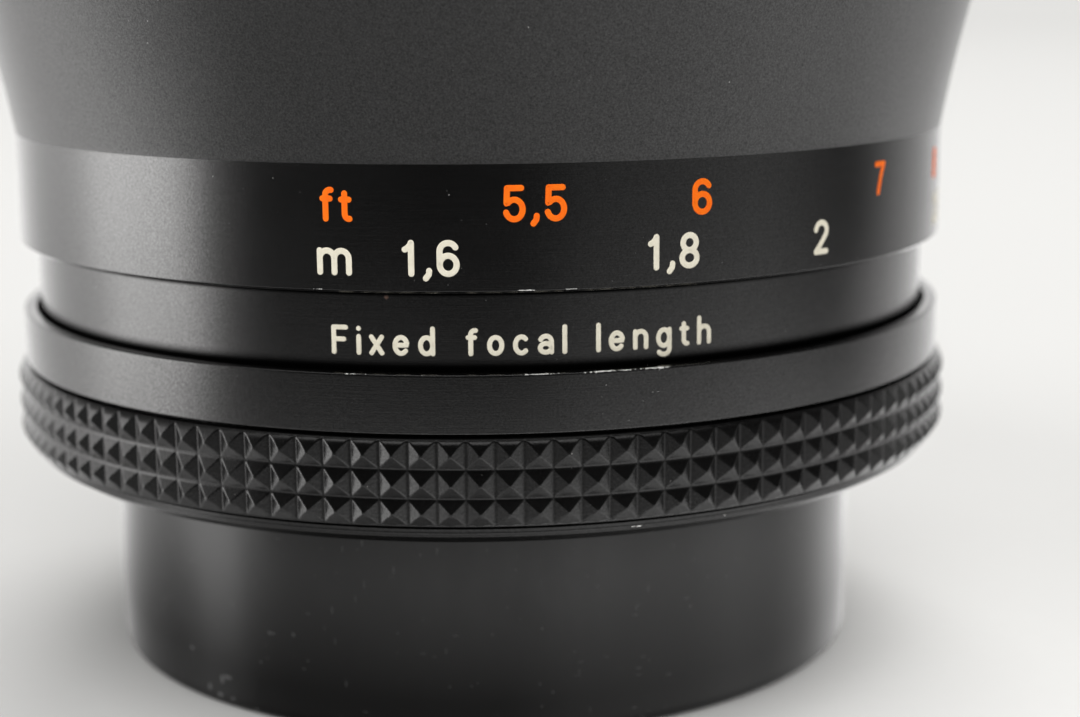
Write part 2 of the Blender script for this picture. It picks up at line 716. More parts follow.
def grip_mesh(radius, height, around, rows, bottom, top, inner, foot, rim, sizes, phase=0.0):
    """rows: [(groove below, apex, groove above)], lowest first. Each pyramid is a nest of square
    rings, of these sizes. The lowest row's lower face and the top row's upper face run out into
    the band's edges: foot and rim are (height share left, length of the rounded edge)."""
    floor = radius - height
    stations = (-1.0, -0.86, 0.0, 0.86, 1.0)      # along a ring's side
    step = 2 * PI / around
    index, verts, faces = {}, [], []

    def point(r, a, z):
        return r * math.sin(a), -r * math.cos(a), z

    def put(a, z, rise):
        key = (round((a - phase) / step * 1e4) % (around * 10000), round(z * 1e4),
               round(rise * 1e4))
        if key not in index:
            index[key] = len(verts)
            verts.append(point(floor + rise, a, z))
        return index[key]

    border_low, border_high = [], []
    for row, (groove_low, apex, groove_high) in enumerate(rows):
        lowest, highest = row == 0, row == len(rows) - 1
        for cell in range(around):
            mid = phase + cell * step
            rings = []
            for size in sizes:
                share = flank(1 - size)
                z_high = apex + (groove_high - apex) * size
                z_low = apex - (apex - groove_low) * size
                if highest:
                    z_high = end_face_z(share, apex, groove_high, *rim)
                if lowest:
                    z_low = end_face_z(share, apex, groove_low, *foot)
                w = size * step / 2
                rise = share * height
                tall = z_high - z_low
                ring = [put(mid + w * s, z_low, rise) for s in stations]
                ring += [put(mid + w, z_low + tall * (s + 1) / 2, rise) for s in stations[1:]]
                ring += [put(mid - w * s, z_high, rise) for s in stations[1:]]
                ring += [put(mid - w, z_high - tall * (s + 1) / 2, rise) for s in stations[1:-1]]
                rings.append(ring)
            tip = put(mid, apex + 0.0001, height + 0.003)
            count = len(rings[0])
            for i in range(count):
                faces.append([tip, rings[0][i], rings[0][(i + 1) % count]])
            for small, large in zip(rings, rings[1:]):
                for i in range(count):
                    j = (i + 1) % count
                    face = list(dict.fromkeys([small[i], large[i], large[j], small[j]]))
                    if len(face) > 2:
                        faces.append(face)
            if lowest:
                border_low += rings[-1][:4]
            if highest:
                border_high += rings[-1][12:8:-1]
    # the plain edges and the hidden inside, on the same divisions round the ring
    angles = [math.atan2(verts[i][0], -verts[i][1]) for i in border_low]

    def loop(r, z):
        first = len(verts)
        verts.extend(point(r, a, z) for a in angles)
        return list(range(first, len(verts)))

    low_z = verts[border_low[0]][2]
    edge = [(floor - 0.02, (low_z + bottom) / 2), (floor - 0.05, bottom + 0.06),
            (floor - 0.14, bottom), (inner, bottom), (inner, top), (floor - 0.14, top),
            (floor - 0.05, top - 0.03)]
    loops = [border_low, *(loop(r, z) for r, z in edge), border_high]
    for lower, upper in zip(loops, loops[1:]):
        for i in range(len(angles)):
            j = (i + 1) % len(angles)
            faces.append([lower[j], lower[i], upper[i], upper[j]])
    return verts, faces


APERTURE_ROWS = [(14.92, 15.66, 16.42), (16.42, 17.26, 18.11), (18.11, 18.95, 19.76)]
shape = grip_mesh(radius=31.75, height=0.40, around=121, rows=APERTURE_ROWS, bottom=14.80,
                  top=19.86, inner=30.25, foot=(0.20, 0.22), rim=(0.32, 0.14),
                  sizes=(0.09, 0.16, 0.5, 0.85, 0.94, 1.0), phase=math.radians(0.92))
add_mesh("aperture_grip", shape, "aperture_ring", [LOOKS["grip_low"]], sharp=75,
         weighted=False)

ROWS_START, ROW_PITCH = 49.2, 1.63
focus_rows = [tuple(ROWS_START + ROW_PITCH * (k + part) for part in (0, 0.5, 1)) for k in range(9)]
shape = grip_mesh(radius=34.85, height=0.42, around=130, rows=focus_rows, bottom=49.07, top=63.93,
                  inner=33.45, foot=(0.22, 0.22), rim=(0.30, 0.13), sizes=(0.09, 0.5, 0.94, 1.0))
add_mesh("focus_grip", shape, "focus_ring", [LOOKS["grip"]], sharp=75,
         weighted=False)

# ============================================================ rear cap

lathe("rear_cap", [(0, 0), (25.46, 0, 0.55), (CAP_RADIUS, 13.0, 0.28), (24.3, 13.0, 0.2),
                   (24.3, 1.6, 0.8), (0, 1.6)],
      "rear_cap", [LOOKS["cap"]], closed=False, arc_steps=6)
TONGUE = [(22.95, 10.3), (24.6, 10.3), (24.6, 11.35), (23.1, 11.35), (22.95, 11.2)]
shape = join([sector(TONGUE, 45 + 120 * i, 75 + 120 * i, 24) for i in range(3)])
add_mesh("rear_cap_tongues", shape, "rear_cap", [LOOKS["cap"]], new=True)

# ============================================================ turned casings

aperture_ring = lathe("aperture_ring", [
    (28.9, 13.40), (29.62, 13.47, 0.1), (30.46, 13.99, 0.03), (30.54, 14.06, 0.01),
    (30.62, 14.07, 0.01), (30.62, 14.12, 0.01), (30.70, 14.15, 0.02), (30.74, 14.32, 0.01),
    (30.72, 14.34, 0.01), (30.74, 14.36, 0.01), (30.80, 14.56, 0.02), (30.73, 14.61, 0.01),
    (30.15, 14.63, 0.02), (30.15, 20.04, 0.03), (STOP_BAND_RADIUS, 20.07, 0.08),
    (STOP_BAND_RADIUS, 23.46, 0.14), (30.38, 23.46, 0.08), (30.38, 21.72), (27.6, 21.72),
    (27.6, 15.25), (28.9, 15.25)],
    "aperture_ring", [LOOKS["aperture"]], around=320)


def notch(angle, radius=0.95, z=22.25, inner=27.0, outer=30.0, sides=24):
    """A cylinder lying along a radius, at this angle (radians from +X)."""
    verts = []
    for r in (inner, outer):
        for i in range(sides):
            b = 2 * PI * i / sides
            side = radius * math.cos(b)
            verts.append((r * math.cos(angle) - side * math.sin(angle),
                          r * math.sin(angle) + side * math.cos(angle),
                          z + radius * math.sin(b)))
    near, far = list(range(sides)), list(range(sides, 2 * sides))
    return verts, bridge(near, far) + [near[::-1], far]


# click stops: a notch for each f-number in the ring's inner ledge, under the sprung ball
low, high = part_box("detent_ball")
ball_angle = math.atan2(low.y + high.y, low.x + high.x)
carve(aperture_ring, join([notch(ball_angle - math.radians(STOP_PITCH * k))
                           for k in range(len(STOPS))]))

lathe("index_ring", [(28.0, 22.05), (INDEX_RADIUS, 22.05, 0.1), (INDEX_RADIUS, 29.6, 0.1),
                     (28.0, 29.6)],
      "barrel_fixed", [LOOKS["index"]], around=320)

flare = [(FOCUS_BAND_RADIUS + 0.17 * rise + 0.0053 * rise * rise, FOCUS_BAND_TOP + rise, 0)
         for rise in np.linspace(0, 12.9, 26)[1:]]
lathe("focus_ring", [
    (30.4, 27.97), (30.98, 27.97, 0.01), (FOCUS_BAND_RADIUS, 28.10, 0.03),
    (FOCUS_BAND_RADIUS, FOCUS_BAND_TOP, 0.05), *flare, (34.2, 48.1, 0.08), (34.35, 48.25, 0.06),
    (34.35, 48.93, 0.08), (33.4, 49.0), (33.4, 64.0), (34.35, 64.07, 0.08), (34.35, 66.6, 0.5),
    (33.9, 67.2, 0.3), (33.05, 67.2, 0.12), (33.05, 60.85), (31.35, 60.85), (31.35, 51.85),
    (29.05, 51.85), (29.05, 34.95), (28.2, 34.95), (28.2, 30.25), (30.4, 30.25)],
    "focus_ring", [LOOKS["focus"]], around=320)

lathe("front_barrel", [
    (26.3, 58.1), (27.0, 58.1), (27.0, 61.2), (29.3, 61.2), (29.3, 52.3), (30.88, 52.3, 0.1),
    (30.88, 84.3), (30.55, 84.35), (30.55, 87.65), (30.88, 87.7), (30.88, 89.6, 0.15),
    (30.2, 89.6, 0.12), (29.35, 89.0, 0.05), (29.05, 88.7), (29.05, 62.65), (26.3, 62.65)],
    "focusing_barrel", [LOOKS["front"]])
lathe("hood_felt_band", [(30.62, 84.52), (31.14, 84.52, 0.1), (31.14, 87.48, 0.1), (30.62, 87.48)],
      "focusing_barrel", [LOOKS["felt"]])
lathe("lens_hood", [
    (31.12, 61.62), (32.5, 61.62, 0.12), (32.5, 63.2, 0.04), (32.38, 63.3, 0.04),
    (32.38, 63.55, 0.04), (32.5, 63.65, 0.04), (32.5, 87.45, 0.05), (32.85, 87.85, 0.12),
    (32.88, 90.4, 0.2), (32.5, 90.78, 0.18), (31.7, 90.78, 0.15), (31.4, 90.4, 0.1),
    (31.4, 63.1, 0.05), (31.12, 62.75, 0.05)],
    "lens_hood", [LOOKS["front"], LOOKS["ribbed"]],
    paint=lambda r, z: 1 if r < 31.6 and z < 90.2 else 0)

# ============================================================ front cell and glass

lathe("front_cell", [
    (17.8, 65.1), (18.75, 65.1), (18.75, 57.35), (24.2, 57.35), (24.2, 58.25), (26.1, 58.25),
    (26.1, 83.4), (28.75, 83.4), (28.75, 84.9), (24.6, 84.9), (24.6, 77.5), (21.8, 77.5),
    (21.8, 66.9), (17.8, 66.9)],
    "focusing_barrel", [LOOKS["black"]], around=180)
bezel_steps = []                  # seven steps down towards the glass
for k in range(7):
    r, z = 28.3 - 0.5 * k, 88.0 - 0.3 * k
    bezel_steps += [(r, z, 0.05), (r - 0.35, z - 0.22, 0.04)]
lathe("front_bezel", [(24.8, 85.05), (28.7, 85.05), (28.7, 87.95, 0.1), *bezel_steps,
                      (24.8, 85.75, 0.05)],
      "focusing_barrel", [LOOKS["tube"]])
lathe("front_retaining_ring", [(23.45, 81.95, 0.05), (24.35, 81.95, 0.05), (24.35, 83.9, 0.08),
                               (23.9, 83.9, 0.1), (23.45, 83.3, 0.1)],
      "focusing_barrel", [LOOKS["black"]])


def sphere_line(vertex, radius, side, reach, steps):
    """A spherical surface from the axis out to reach. side: 1 domed up, -1 hollow from above."""
    line = []
    for i in range(steps + 1):
        r = reach * i / steps
        line.append((r, vertex - side * (radius - math.sqrt(radius * radius - r * r)), 0))
    return line


def element(node, glass_key, lower, upper, rim, flat=None):
    """A glass element with a blackened rim. flat: radius where a flat underside begins."""
    outline = sphere_line(*lower, flat or rim, 24)
    if flat:
        outline.append((rim, outline[-1][1], 0.15))
    outline += sphere_line(*upper, rim, 28)[::-1]
    lathe(node, outline, "focusing_barrel", [GLASSES[glass_key], LOOKS["black"]],
          closed=False, around=160, corner=0, paint=lambda r, z: 1 if r > rim - 0.01 else 0,
          sharp=25)


# lower and upper surface: (z on the axis, radius of curvature, side)
element("front_element", "a", (76.8, 300.0, -1), (86.0, 62.0, 1), rim=24.3)
element("second_element", "b", (69.6, 95.0, 1), (76.0, 42.0, 1), rim=21.5)
element("third_element", "c", (64.2, 24.0, 1), (67.6, 60.0, 1), rim=18.45, flat=14.5)
element("fourth_element", "d", (36.5, 60.0, -1), (41.5, 80.0, 1), rim=14.95)
element("rear_element", "e", (29.5, 100.0, -1), (31.5, 40.0, -1), rim=13.95)

# ============================================================ rear: bayonet and baffle

FLANGE = [(20.4, 8.42, 0.15), (22.55, 8.42, 0.12), (22.55, 13.22, 0.05), (28.55, 13.22, 0.15),
          (28.55, 14.98, 0.1), (20.4, 14.98, 0.1)]
CLAW = [(22.3, 8.45), (23.75, 8.45, 0.15), (23.88, 9.0, 0.1), (23.88, 9.85, 0.08), (22.3, 9.85)]
mount_parts = [spin(rounded(FLANGE), True, 240)[0]]
mount_parts += [sector(rounded(CLAW), 120 * i - 25, 120 * i + 25, 40) for i in range(3)]
add_mesh("bayonet_mount", join(mount_parts), "barrel_fixed", [LOOKS["chrome"]])
lathe("rear_baffle_ring", [(17.4, 9.2), (18.1, 9.2, 0.1), (18.1, 15.25), (20.6, 15.25),
                           (20.6, 16.1), (17.4, 16.1)],
      "barrel_fixed", [LOOKS["ribbed"]], new=True)

# ============================================================ figures: strokes filled with paint
# Glyphs are drawn one unit high, along the middle of the stroke.

GLYPH_HALF = 0.069                # half the stroke width that the glyphs are drawn for


def arc(centre_x, centre_y, radius_x, radius_y, start, end, steps=18):
    angles = [math.radians(start + (end - start) * i / steps) for i in range(steps + 1)]
    return [(centre_x + radius_x * math.cos(a), centre_y + radius_y * math.sin(a))
            for a in angles]


def line(*points):
    """A straight-sided path, divided finely enough to wrap round a barrel."""
    out = [points[0]]
    for (x0, y0), (x1, y1) in zip(points, points[1:]):
        steps = max(1, int(math.hypot(x1 - x0, y1 - y0) / 0.09))
        out += [(x0 + (x1 - x0) * i / steps, y0 + (y1 - y0) * i / steps)
                for i in range(1, steps + 1)]
    return out


def bowl(start=0, end=360, steps=30):
    return arc(0.28, 0.35, 0.207, 0.277, start, end, steps)


W = 0.61                          # width of most digits
MID = W / 2
L = BASE = 0.073                  # left and lowest, then right and highest stroke middles
R, TOP = W - L, 1 - BASE
X_TOP = 0.627                     # highest stroke middle of small letters
SIX = [arc(MID, 0.324, 0.232, 0.251, 0, 360, 36),
       line((L, 0.324), (L, 0.695)) + arc(MID, 0.695, 0.232, 0.232, 180, 28, 14)[1:]]
ARCH = arc(0.27, 0.42, 0.197, 0.207, 170, 0, 14) + line((0.467, 0.42), (0.467, BASE))[1:]
GLYPHS = {   # character: (width, strokes)
    "0": (W, [arc(MID, 0.695, 0.232, 0.232, 0, 180) + line((L, 0.695), (L, 0.305))[1:]
              + arc(MID, 0.305, 0.232, 0.232, 180, 360)[1:] + line((R, 0.305), (R, 0.695))[1:]]),
    "1": (0.35, [line((0.277, BASE), (0.277, TOP)), arc(-0.02, 1.0, 0.305, 0.28, -15, -66, 8)]),
    "2": (W, [arc(MID, 0.690, 0.232, 0.237, 172, -28, 20)
              + line((0.51, 0.579), (0.30, 0.31), (0.085, BASE + 0.01))[1:],
              line((0.08, BASE), (R, BASE))]),
    "3": (W, [arc(MID, 0.713, 0.212, 0.214, 155, -80, 20),
              arc(MID, 0.287, 0.232, 0.215, 85, -160, 22)]),
    "4": (0.64, [line((0.36, TOP), (0.073, 0.29), (0.567, 0.29)),
                 line((0.43, 0.52), (0.43, BASE))]),
    "5": (W, [line((0.115, TOP), (0.50, TOP)), line((0.115, TOP), (0.098, 0.52)),
              line((0.098, 0.515), (0.12, 0.50))
              + arc(MID, 0.342, 0.232, 0.269, 143, -162, 26)]),
    "6": (W, SIX),
    "7": (W, [line((L, TOP), (0.525, TOP)), line((0.525, TOP), (0.36, 0.55), (0.235, BASE))]),
    "8": (W, [arc(MID, 0.716, 0.205, 0.211, 0, 360, 30),
              arc(MID, 0.288, 0.232, 0.217, 0, 360, 34)]),
    "9": (W, [[(W - x, 1 - y) for x, y in path] for path in SIX]),
    ",": (0.24, [line((0.167, 0.155), (0.160, 0.06), (0.075, -0.054))]),
    "f": (0.42, [line((0.17, BASE), (0.17, 0.73)) + arc(0.31, 0.73, 0.14, 0.140, 180, 80, 10)[1:],
                 line((0.085, 0.63), (0.30, 0.63))]),
    "t": (0.39, [line((0.17, 0.78), (0.17, 0.22))
                 + arc(0.285, 0.22, 0.115, 0.14, 180, 280, 10)[1:],
                 line((0.075, 0.61), (0.29, 0.61))]),
    "m": (1.04, [line((L, BASE), (L, 0.677)),
                 arc(0.2965, 0.4535, 0.2235, 0.2235, 165, 0, 14)
                 + line((0.52, 0.45), (0.52, BASE))[1:],
                 arc(0.7435, 0.4535, 0.2235, 0.2235, 180, 0, 14)
                 + line((0.967, 0.45), (0.967, BASE))[1:]]),
    # "~" stands for infinity
    "~": (1.30, [[(0.65 + 0.55 * math.cos(a), 0.5 + 0.26 * math.sin(2 * a))
                  for a in np.linspace(0, 2 * PI, 61)]]),
    "F": (0.57, [line((L, BASE), (L, TOP)), line((L, TOP), (0.50, TOP)),
                 line((L, 0.52), (0.43, 0.52))]),
    "i": (0.146, [line((L, BASE), (L, X_TOP)), line((L, 0.90), (L, 0.905))]),
    "x": (0.50, [line((L, BASE), (0.43, X_TOP)), line((L, X_TOP), (0.43, BASE))]),
    "e": (0.56, [line((L, 0.36), (0.487, 0.36)) + bowl(2, 318, 26)[1:]]),
    "d": (0.56, [bowl(), line((0.487, BASE), (0.487, TOP))]),
    "o": (0.56, [bowl()]),
    "c": (0.53, [bowl(48, 312, 22)]),
    "a": (0.53, [arc(0.265, 0.435, 0.192, 0.192, 155, 0, 14)
                 + line((0.457, 0.43), (0.457, BASE))[1:],
                 arc(0.265, 0.225, 0.192, 0.152, 0, 360, 26)]),
    "l": (0.146, [line((L, BASE), (L, TOP))]),
    "n": (0.54, [line((L, BASE), (L, X_TOP)), ARCH]),
    "h": (0.54, [line((L, BASE), (L, TOP)), ARCH]),
    "g": (0.56, [bowl(), line((0.487, X_TOP), (0.487, -0.06))
                 + arc(0.28, -0.06, 0.207, 0.17, 0, -150, 14)[1:]]),
    " ": (0.42, []),
}
SUNK = -0.05                      # how far a stroke's edges reach under the surface
LIFT = 0.022                      # how far its middle stands above the surface
CAP_TURNS = 7                     # steps round a stroke's end


def stroke(points, half, wrap, lift=LIFT):
    """A low-domed ribbon along flat points, with round ends, wrapped by wrap(x, z, height)."""
    path = [points[0]]
    for point in points[1:]:
        if math.dist(point, path[-1]) > 1e-4:
            path.append(point)
    path = np.array(path, float)
    count = len(path)
    closed = count > 3 and np.linalg.norm(path[0] - path[-1]) < 1e-3
    # across the ribbon: (share of the half width, height)
    one_side = [(1.0, SUNK), (1.0, lift * 0.25), (0.93, lift * 0.66), (0.72, lift * 0.93),
                (0.35, lift)]
    full = one_side + [(-u, h) for u, h in one_side[::-1]]
    sides = len(one_side)
    verts, faces = [], []

    def direction(i):
        if closed:
            before, after = path[(i - 1) % (count - 1)], path[(i + 1) % (count - 1)]
        else:
            before, after = path[max(i - 1, 0)], path[min(i + 1, count - 1)]
        step = after - before
        return step / max(np.linalg.norm(step), 1e-9)

    def section(centre, side, outline):
        first = len(verts)
        verts.extend(wrap(centre[0] + side[0] * half * u, centre[1] + side[1] * half * u, h)
                     for u, h in outline)
        return list(range(first, len(verts)))

    rings = []
    for i in range(count - 1 if closed else count):
        ahead = direction(i)
        rings.append(section(path[i], (-ahead[1], ahead[0]), full))
    for ring, other in zip(rings, rings[1:] + ([rings[0]] if closed else [])):
        faces += bridge(ring, other)
    if closed:
        return verts, faces

    for i, ring, sign in ((0, rings[0], -1), (count - 1, rings[-1], 1)):
        end, ahead = path[i], direction(i)
        side = np.array([-ahead[1], ahead[0]])
        previous = ring[:sides]
        centre_high, centre_low = len(verts), len(verts) + 1
        verts += [wrap(end[0], end[1], lift), wrap(end[0], end[1], SUNK)]
        cap = []
        for turn in range(1, CAP_TURNS + 1):
            a = PI * turn / CAP_TURNS
            if turn < CAP_TURNS:
                outward = side * math.cos(a) + ahead * sign * math.sin(a)
                current = section(end, outward, one_side)
            else:
                current = ring[:sides - 1:-1]
            for k in range(sides - 1):
                cap.append([previous[k], previous[k + 1], current[k + 1], current[k]])
            cap.append([previous[-1], centre_high, current[-1]])
            cap.append([centre_low, previous[0], current[0]])
            previous = current
        # the flat strips between the end ring's middle and its edges
        cap.append([ring[sides - 1], ring[sides], centre_high])
        cap.append([ring[-1], ring[0], centre_low])
        faces += [face if sign > 0 else face[::-1] for face in cap]
    return verts, faces


def ring_wrap(radius, centre):
    """Flat x runs to the right, as read from outside, from centre (angle from -Y to +X)."""
    def wrap(x, z, height):
        a = math.radians(centre) + x / radius
        return (radius + height) * math.sin(a), -(radius + height) * math.cos(a), z
    return wrap


def text_parts(text, height, radius, base_z, centre=None, left=None, gap=0.33, half=0.17,
               fit=None, squeeze=1.0):
    """Strokes of a word on a ring, placed by its centre or left angle.
    half: half the stroke width. fit: the angle the word must fill."""
    widths = [GLYPHS[char][0] * height * squeeze for char in text]
    gaps = []
    for char, after in zip(text, text[1:]):
        if (char, after) == ("1", ","):
            share = 1.45
        elif after == ",":
            share = 0.75
        else:
            share = 0.85 if char == "," else 1.0
        gaps.append(gap * share)
    total = sum(widths) + sum(gaps)
    if fit is not None:
        wanted = math.radians(fit) * radius
        gaps = [space + (wanted - total) / len(gaps) for space in gaps]
        total = wanted
    x = -total / 2 if left is None else 0.0
    wrap = ring_wrap(radius, centre if left is None else left)
    # keeps the outer size, whatever the stroke's width
    scale = (height - 2 * half) / (1 - 2 * GLYPH_HALF)
    parts = []
    for char, width, space in zip(text, widths, gaps + [0]):
        for path in GLYPHS[char][1]:
            points = [(x + half + (u - GLYPH_HALF) * scale * squeeze,
                       base_z + half + (v - GLYPH_HALF) * scale) for u, v in path]
            parts.append(stroke(points, half, wrap))
        x += width + space
    return parts


def marks(name, parts, body, colour):
    add_mesh(name, join(parts), body, [LOOKS[colour]], new=True, sharp=60,
             weighted=False)


# ============================================================ distance scales

FOCAL_LENGTH = 135.0
NEAREST_ANGLE = -9.82             # where 1.6 m stands
NEAREST_EXTENSION = 13.85         # and the lens's extension there
TURN_PER_MM = 13.7                # turn of the ring for each mm of extension
FIGURE_HEIGHT = 2.05
FEET_Z, METRES_Z = 31.85, 28.90   # feet of the figures


def distance_angle(distance):
    root = math.sqrt(distance * distance - 4 * FOCAL_LENGTH * distance)
    extension = (distance - root) / 2 - FOCAL_LENGTH
    return NEAREST_ANGLE + (NEAREST_EXTENSION - extension) * TURN_PER_MM


def distance_row(labels, unit, base_z, trims):
    """unit: mm in one. trims: how far each figure stands short of its true angle."""
    parts = []
    for label, trim in zip(labels, trims):
        angle = distance_angle(float(label.replace(",", ".")) * unit) - trim
        parts += text_parts(label, FIGURE_HEIGHT, FOCUS_BAND_RADIUS, base_z, centre=angle)
    return parts + text_parts("~", 2.0, FOCUS_BAND_RADIUS, base_z - 0.1, centre=179.9)


FEET = ("5,5", "6", "7", "8", "9", "10", "12", "15", "20", "30", "50")
METRES = ("1,6", "1,8", "2", "2,5", "3", "4", "5", "7", "10", "20")
feet = text_parts("f", FIGURE_HEIGHT, FOCUS_BAND_RADIUS, FEET_Z, left=-21.12)
feet += text_parts("t", FIGURE_HEIGHT, FOCUS_BAND_RADIUS, FEET_Z, left=-19.11)
feet += distance_row(FEET, 304.8, FEET_Z, [0.0] * len(FEET))
marks("feet_figures", feet, "focus_ring", "orange")
metres = text_parts("m", FIGURE_HEIGHT, FOCUS_BAND_RADIUS, METRES_Z, left=-21.52, squeeze=0.94)
metres += distance_row(METRES, 1000.0, METRES_Z, [0.05] + [0.15] * (len(METRES) - 1))
marks("metre_figures", metres, "focus_ring", "cream")

# ============================================================ index ring and f-numbers

# Depth-of-field lines either side of the index: f-number, angle from the index line, and how
# much further out its figure stands (None: no figure).
DEPTH_LINES = [("22", 9.04, 0.7), ("16", 6.58, -0.4), ("11", 4.52, None), ("8", 3.29, None)]
legend = text_parts("Fixed focal length", 1.70, INDEX_RADIUS, 24.28, centre=0.0, fit=41.9,
                    half=0.14)
for label, angle, shift in DEPTH_LINES:
    for side in (-1, 1):
        wrap = ring_wrap(INDEX_RADIUS, 180 + side * angle)
        legend.append(stroke(line((0, 27.72), (0, 26.75)), 0.075, wrap, lift=0.02))
    if shift is not None:
        for side in (1, -1):
            legend += text_parts(label, 1.25, INDEX_RADIUS, 24.95, gap=0.16, half=0.085,
                                 centre=180 + side * (angle + shift))
marks("index_ring_figures", legend, "barrel_fixed", "cream")
index_line = stroke(line((0, 27.75), (0, 23.75)), 0.14, ring_wrap(INDEX_RADIUS, 180))
marks("index_line", [index_line], "barrel_fixed", "orange")

stop_parts = []
for k, label in enumerate(STOPS):
    stop_parts += text_parts(label, 1.55, STOP_BAND_RADIUS, 20.95, centre=180 - STOP_PITCH * k,
                             gap=0.26, half=0.115)
marks("aperture_figures", stop_parts, "aperture_ring", "cream")

# ============================================================ looks of the CAD pieces

SLOT_LOOKS = {"anodised": "tube", "matt_black": "black", "grip_rubber": "grip",
              "cap_plastic": "cap", "chrome": "chrome", "brass": "brass", "steel": "steel",
              "blade_steel": "blade", "felt": "felt"}
for row in frame["record"]["subparts"]:
    node = frame["nodes"][row["node"]]
    look = SLOT_LOOKS.get(row["material_slot"])
    if look:
        node.data.materials.clear()
        node.data.materials.append(LOOKS[look])
frame["nodes"]["focusing_barrel"].data.materials[0] = LOOKS["thread"]

# ============================================================ surroundings

BRIGHTEST = 4.0                   # brightness of a ramp's white
WARM = (1.0, 0.990, 0.980)
# What a glossy surface sees round the horizon: (angle, brightness), 0 towards -Y, positive
# towards +X. A dark room in front, a long softbox at the left, a pale card at the right, the
# backdrop behind.
FAR = [
    (-180, 1.5), (-153, 1.5), (-137, 1.2), (-124, 1.4), (-114, 2.0), (-107, 3.4), (-100, 3.9),
    (-82, 3.8), (-76, 2.2), (-71, 0.5), (-60, 0.07), (-14, 0.01), (6, 0.02), (20, 0.13),
    (46, 0.2), (64, 0.27), (80, 0.15), (94, 0.06), (104, 0.25), (111, 0.47), (128, 0.82),
    (144, 1.15), (158, 1.4), (180, 1.5)]
# The paper round the lens, and the paper right beside it.
NEAR = [
    (-180, 1.6), (-153, 2.1), (-137, 1.45), (-120, 0.95), (-103, 0.55), (-86, 0.42), (-68, 0.30),
    (-50, 0.38), (-14, 0.37), (5, 0.39), (23, 0.50), (41, 0.55), (59, 0.74), (77, 0.92),
    (94, 0.88), (111, 1.6), (128, 2.2), (150, 2.7), (180, 2.0)]
CLOSE = [
    (-180, 1.4), (-153, 1.2), (-137, 0.92), (-124, 0.78), (-116, 0.80), (-108, 1.0), (-101, 1.7),
    (-95, 2.15), (-88, 2.15), (-85, 1.5), (-81, 1.0), (-66, 0.75), (-50, 0.72), (-14, 0.95),
    (5, 1.05), (23, 1.32), (41, 1.27), (59, 1.24), (77, 1.42), (94, 1.1), (111, 1.2),
    (128, 1.75), (180, 1.9)]


def azimuth(net, x, y):
    """0..1 round the horizon: 0.5 is -Y, rising towards +X."""
    return net.math("ARCTAN2", x, y * -1.0) / (2 * PI) + 0.5


def brightness(net, turn, table):
    """A table of (angle, brightness) read at this azimuth."""
    node = net.node("ShaderNodeValToRGB", {0: turn})
    elements = node.color_ramp.elements
    while len(elements) > 1:
        elements.remove(elements[-1])
    for k, (angle, value) in enumerate(table):
        position, value = (angle + 180.0) / 360.0, value / BRIGHTEST
        stop = elements[0] if k == 0 else elements.new(position)
        stop.position = position
        stop.color = (value, value, value, 1.0)
    return Signal(net, node.outputs["Color"]) * BRIGHTEST


def build_world():
    """Reflections see the room; other rays see a plain light."""
    world = bpy.data.worlds.new("studio")
    bpy.context.scene.world = world
    world.use_nodes = True
    net = Net(world.node_tree)
    x, y, z = net.separate(net.add("ShaderNodeTexCoord", output="Generated"))
    horizon = brightness(net, azimuth(net, x, y), FAR)
    low = horizon * net.span(z, (0.15, 0.55), (1.0, 0.12), smooth=True)
    room = low + net.span(z, (0.84, 0.98), (0.0, 1.2), smooth=True)
    path = net.node("ShaderNodeLightPath").outputs
    is_glossy = Signal(net, path["Is Glossy Ray"])
    plain = 0.19 + Signal(net, path["Is Camera Ray"]) * 0.64
    strength = room * is_glossy + (1.0 - is_glossy) * plain
    colour = net.mix(is_glossy, (1.0, 0.995, 0.985), WARM)
    background = net.add("ShaderNodeBackground", {"Color": colour, "Strength": strength})
    net.finish(background, "ShaderNodeOutputWorld")


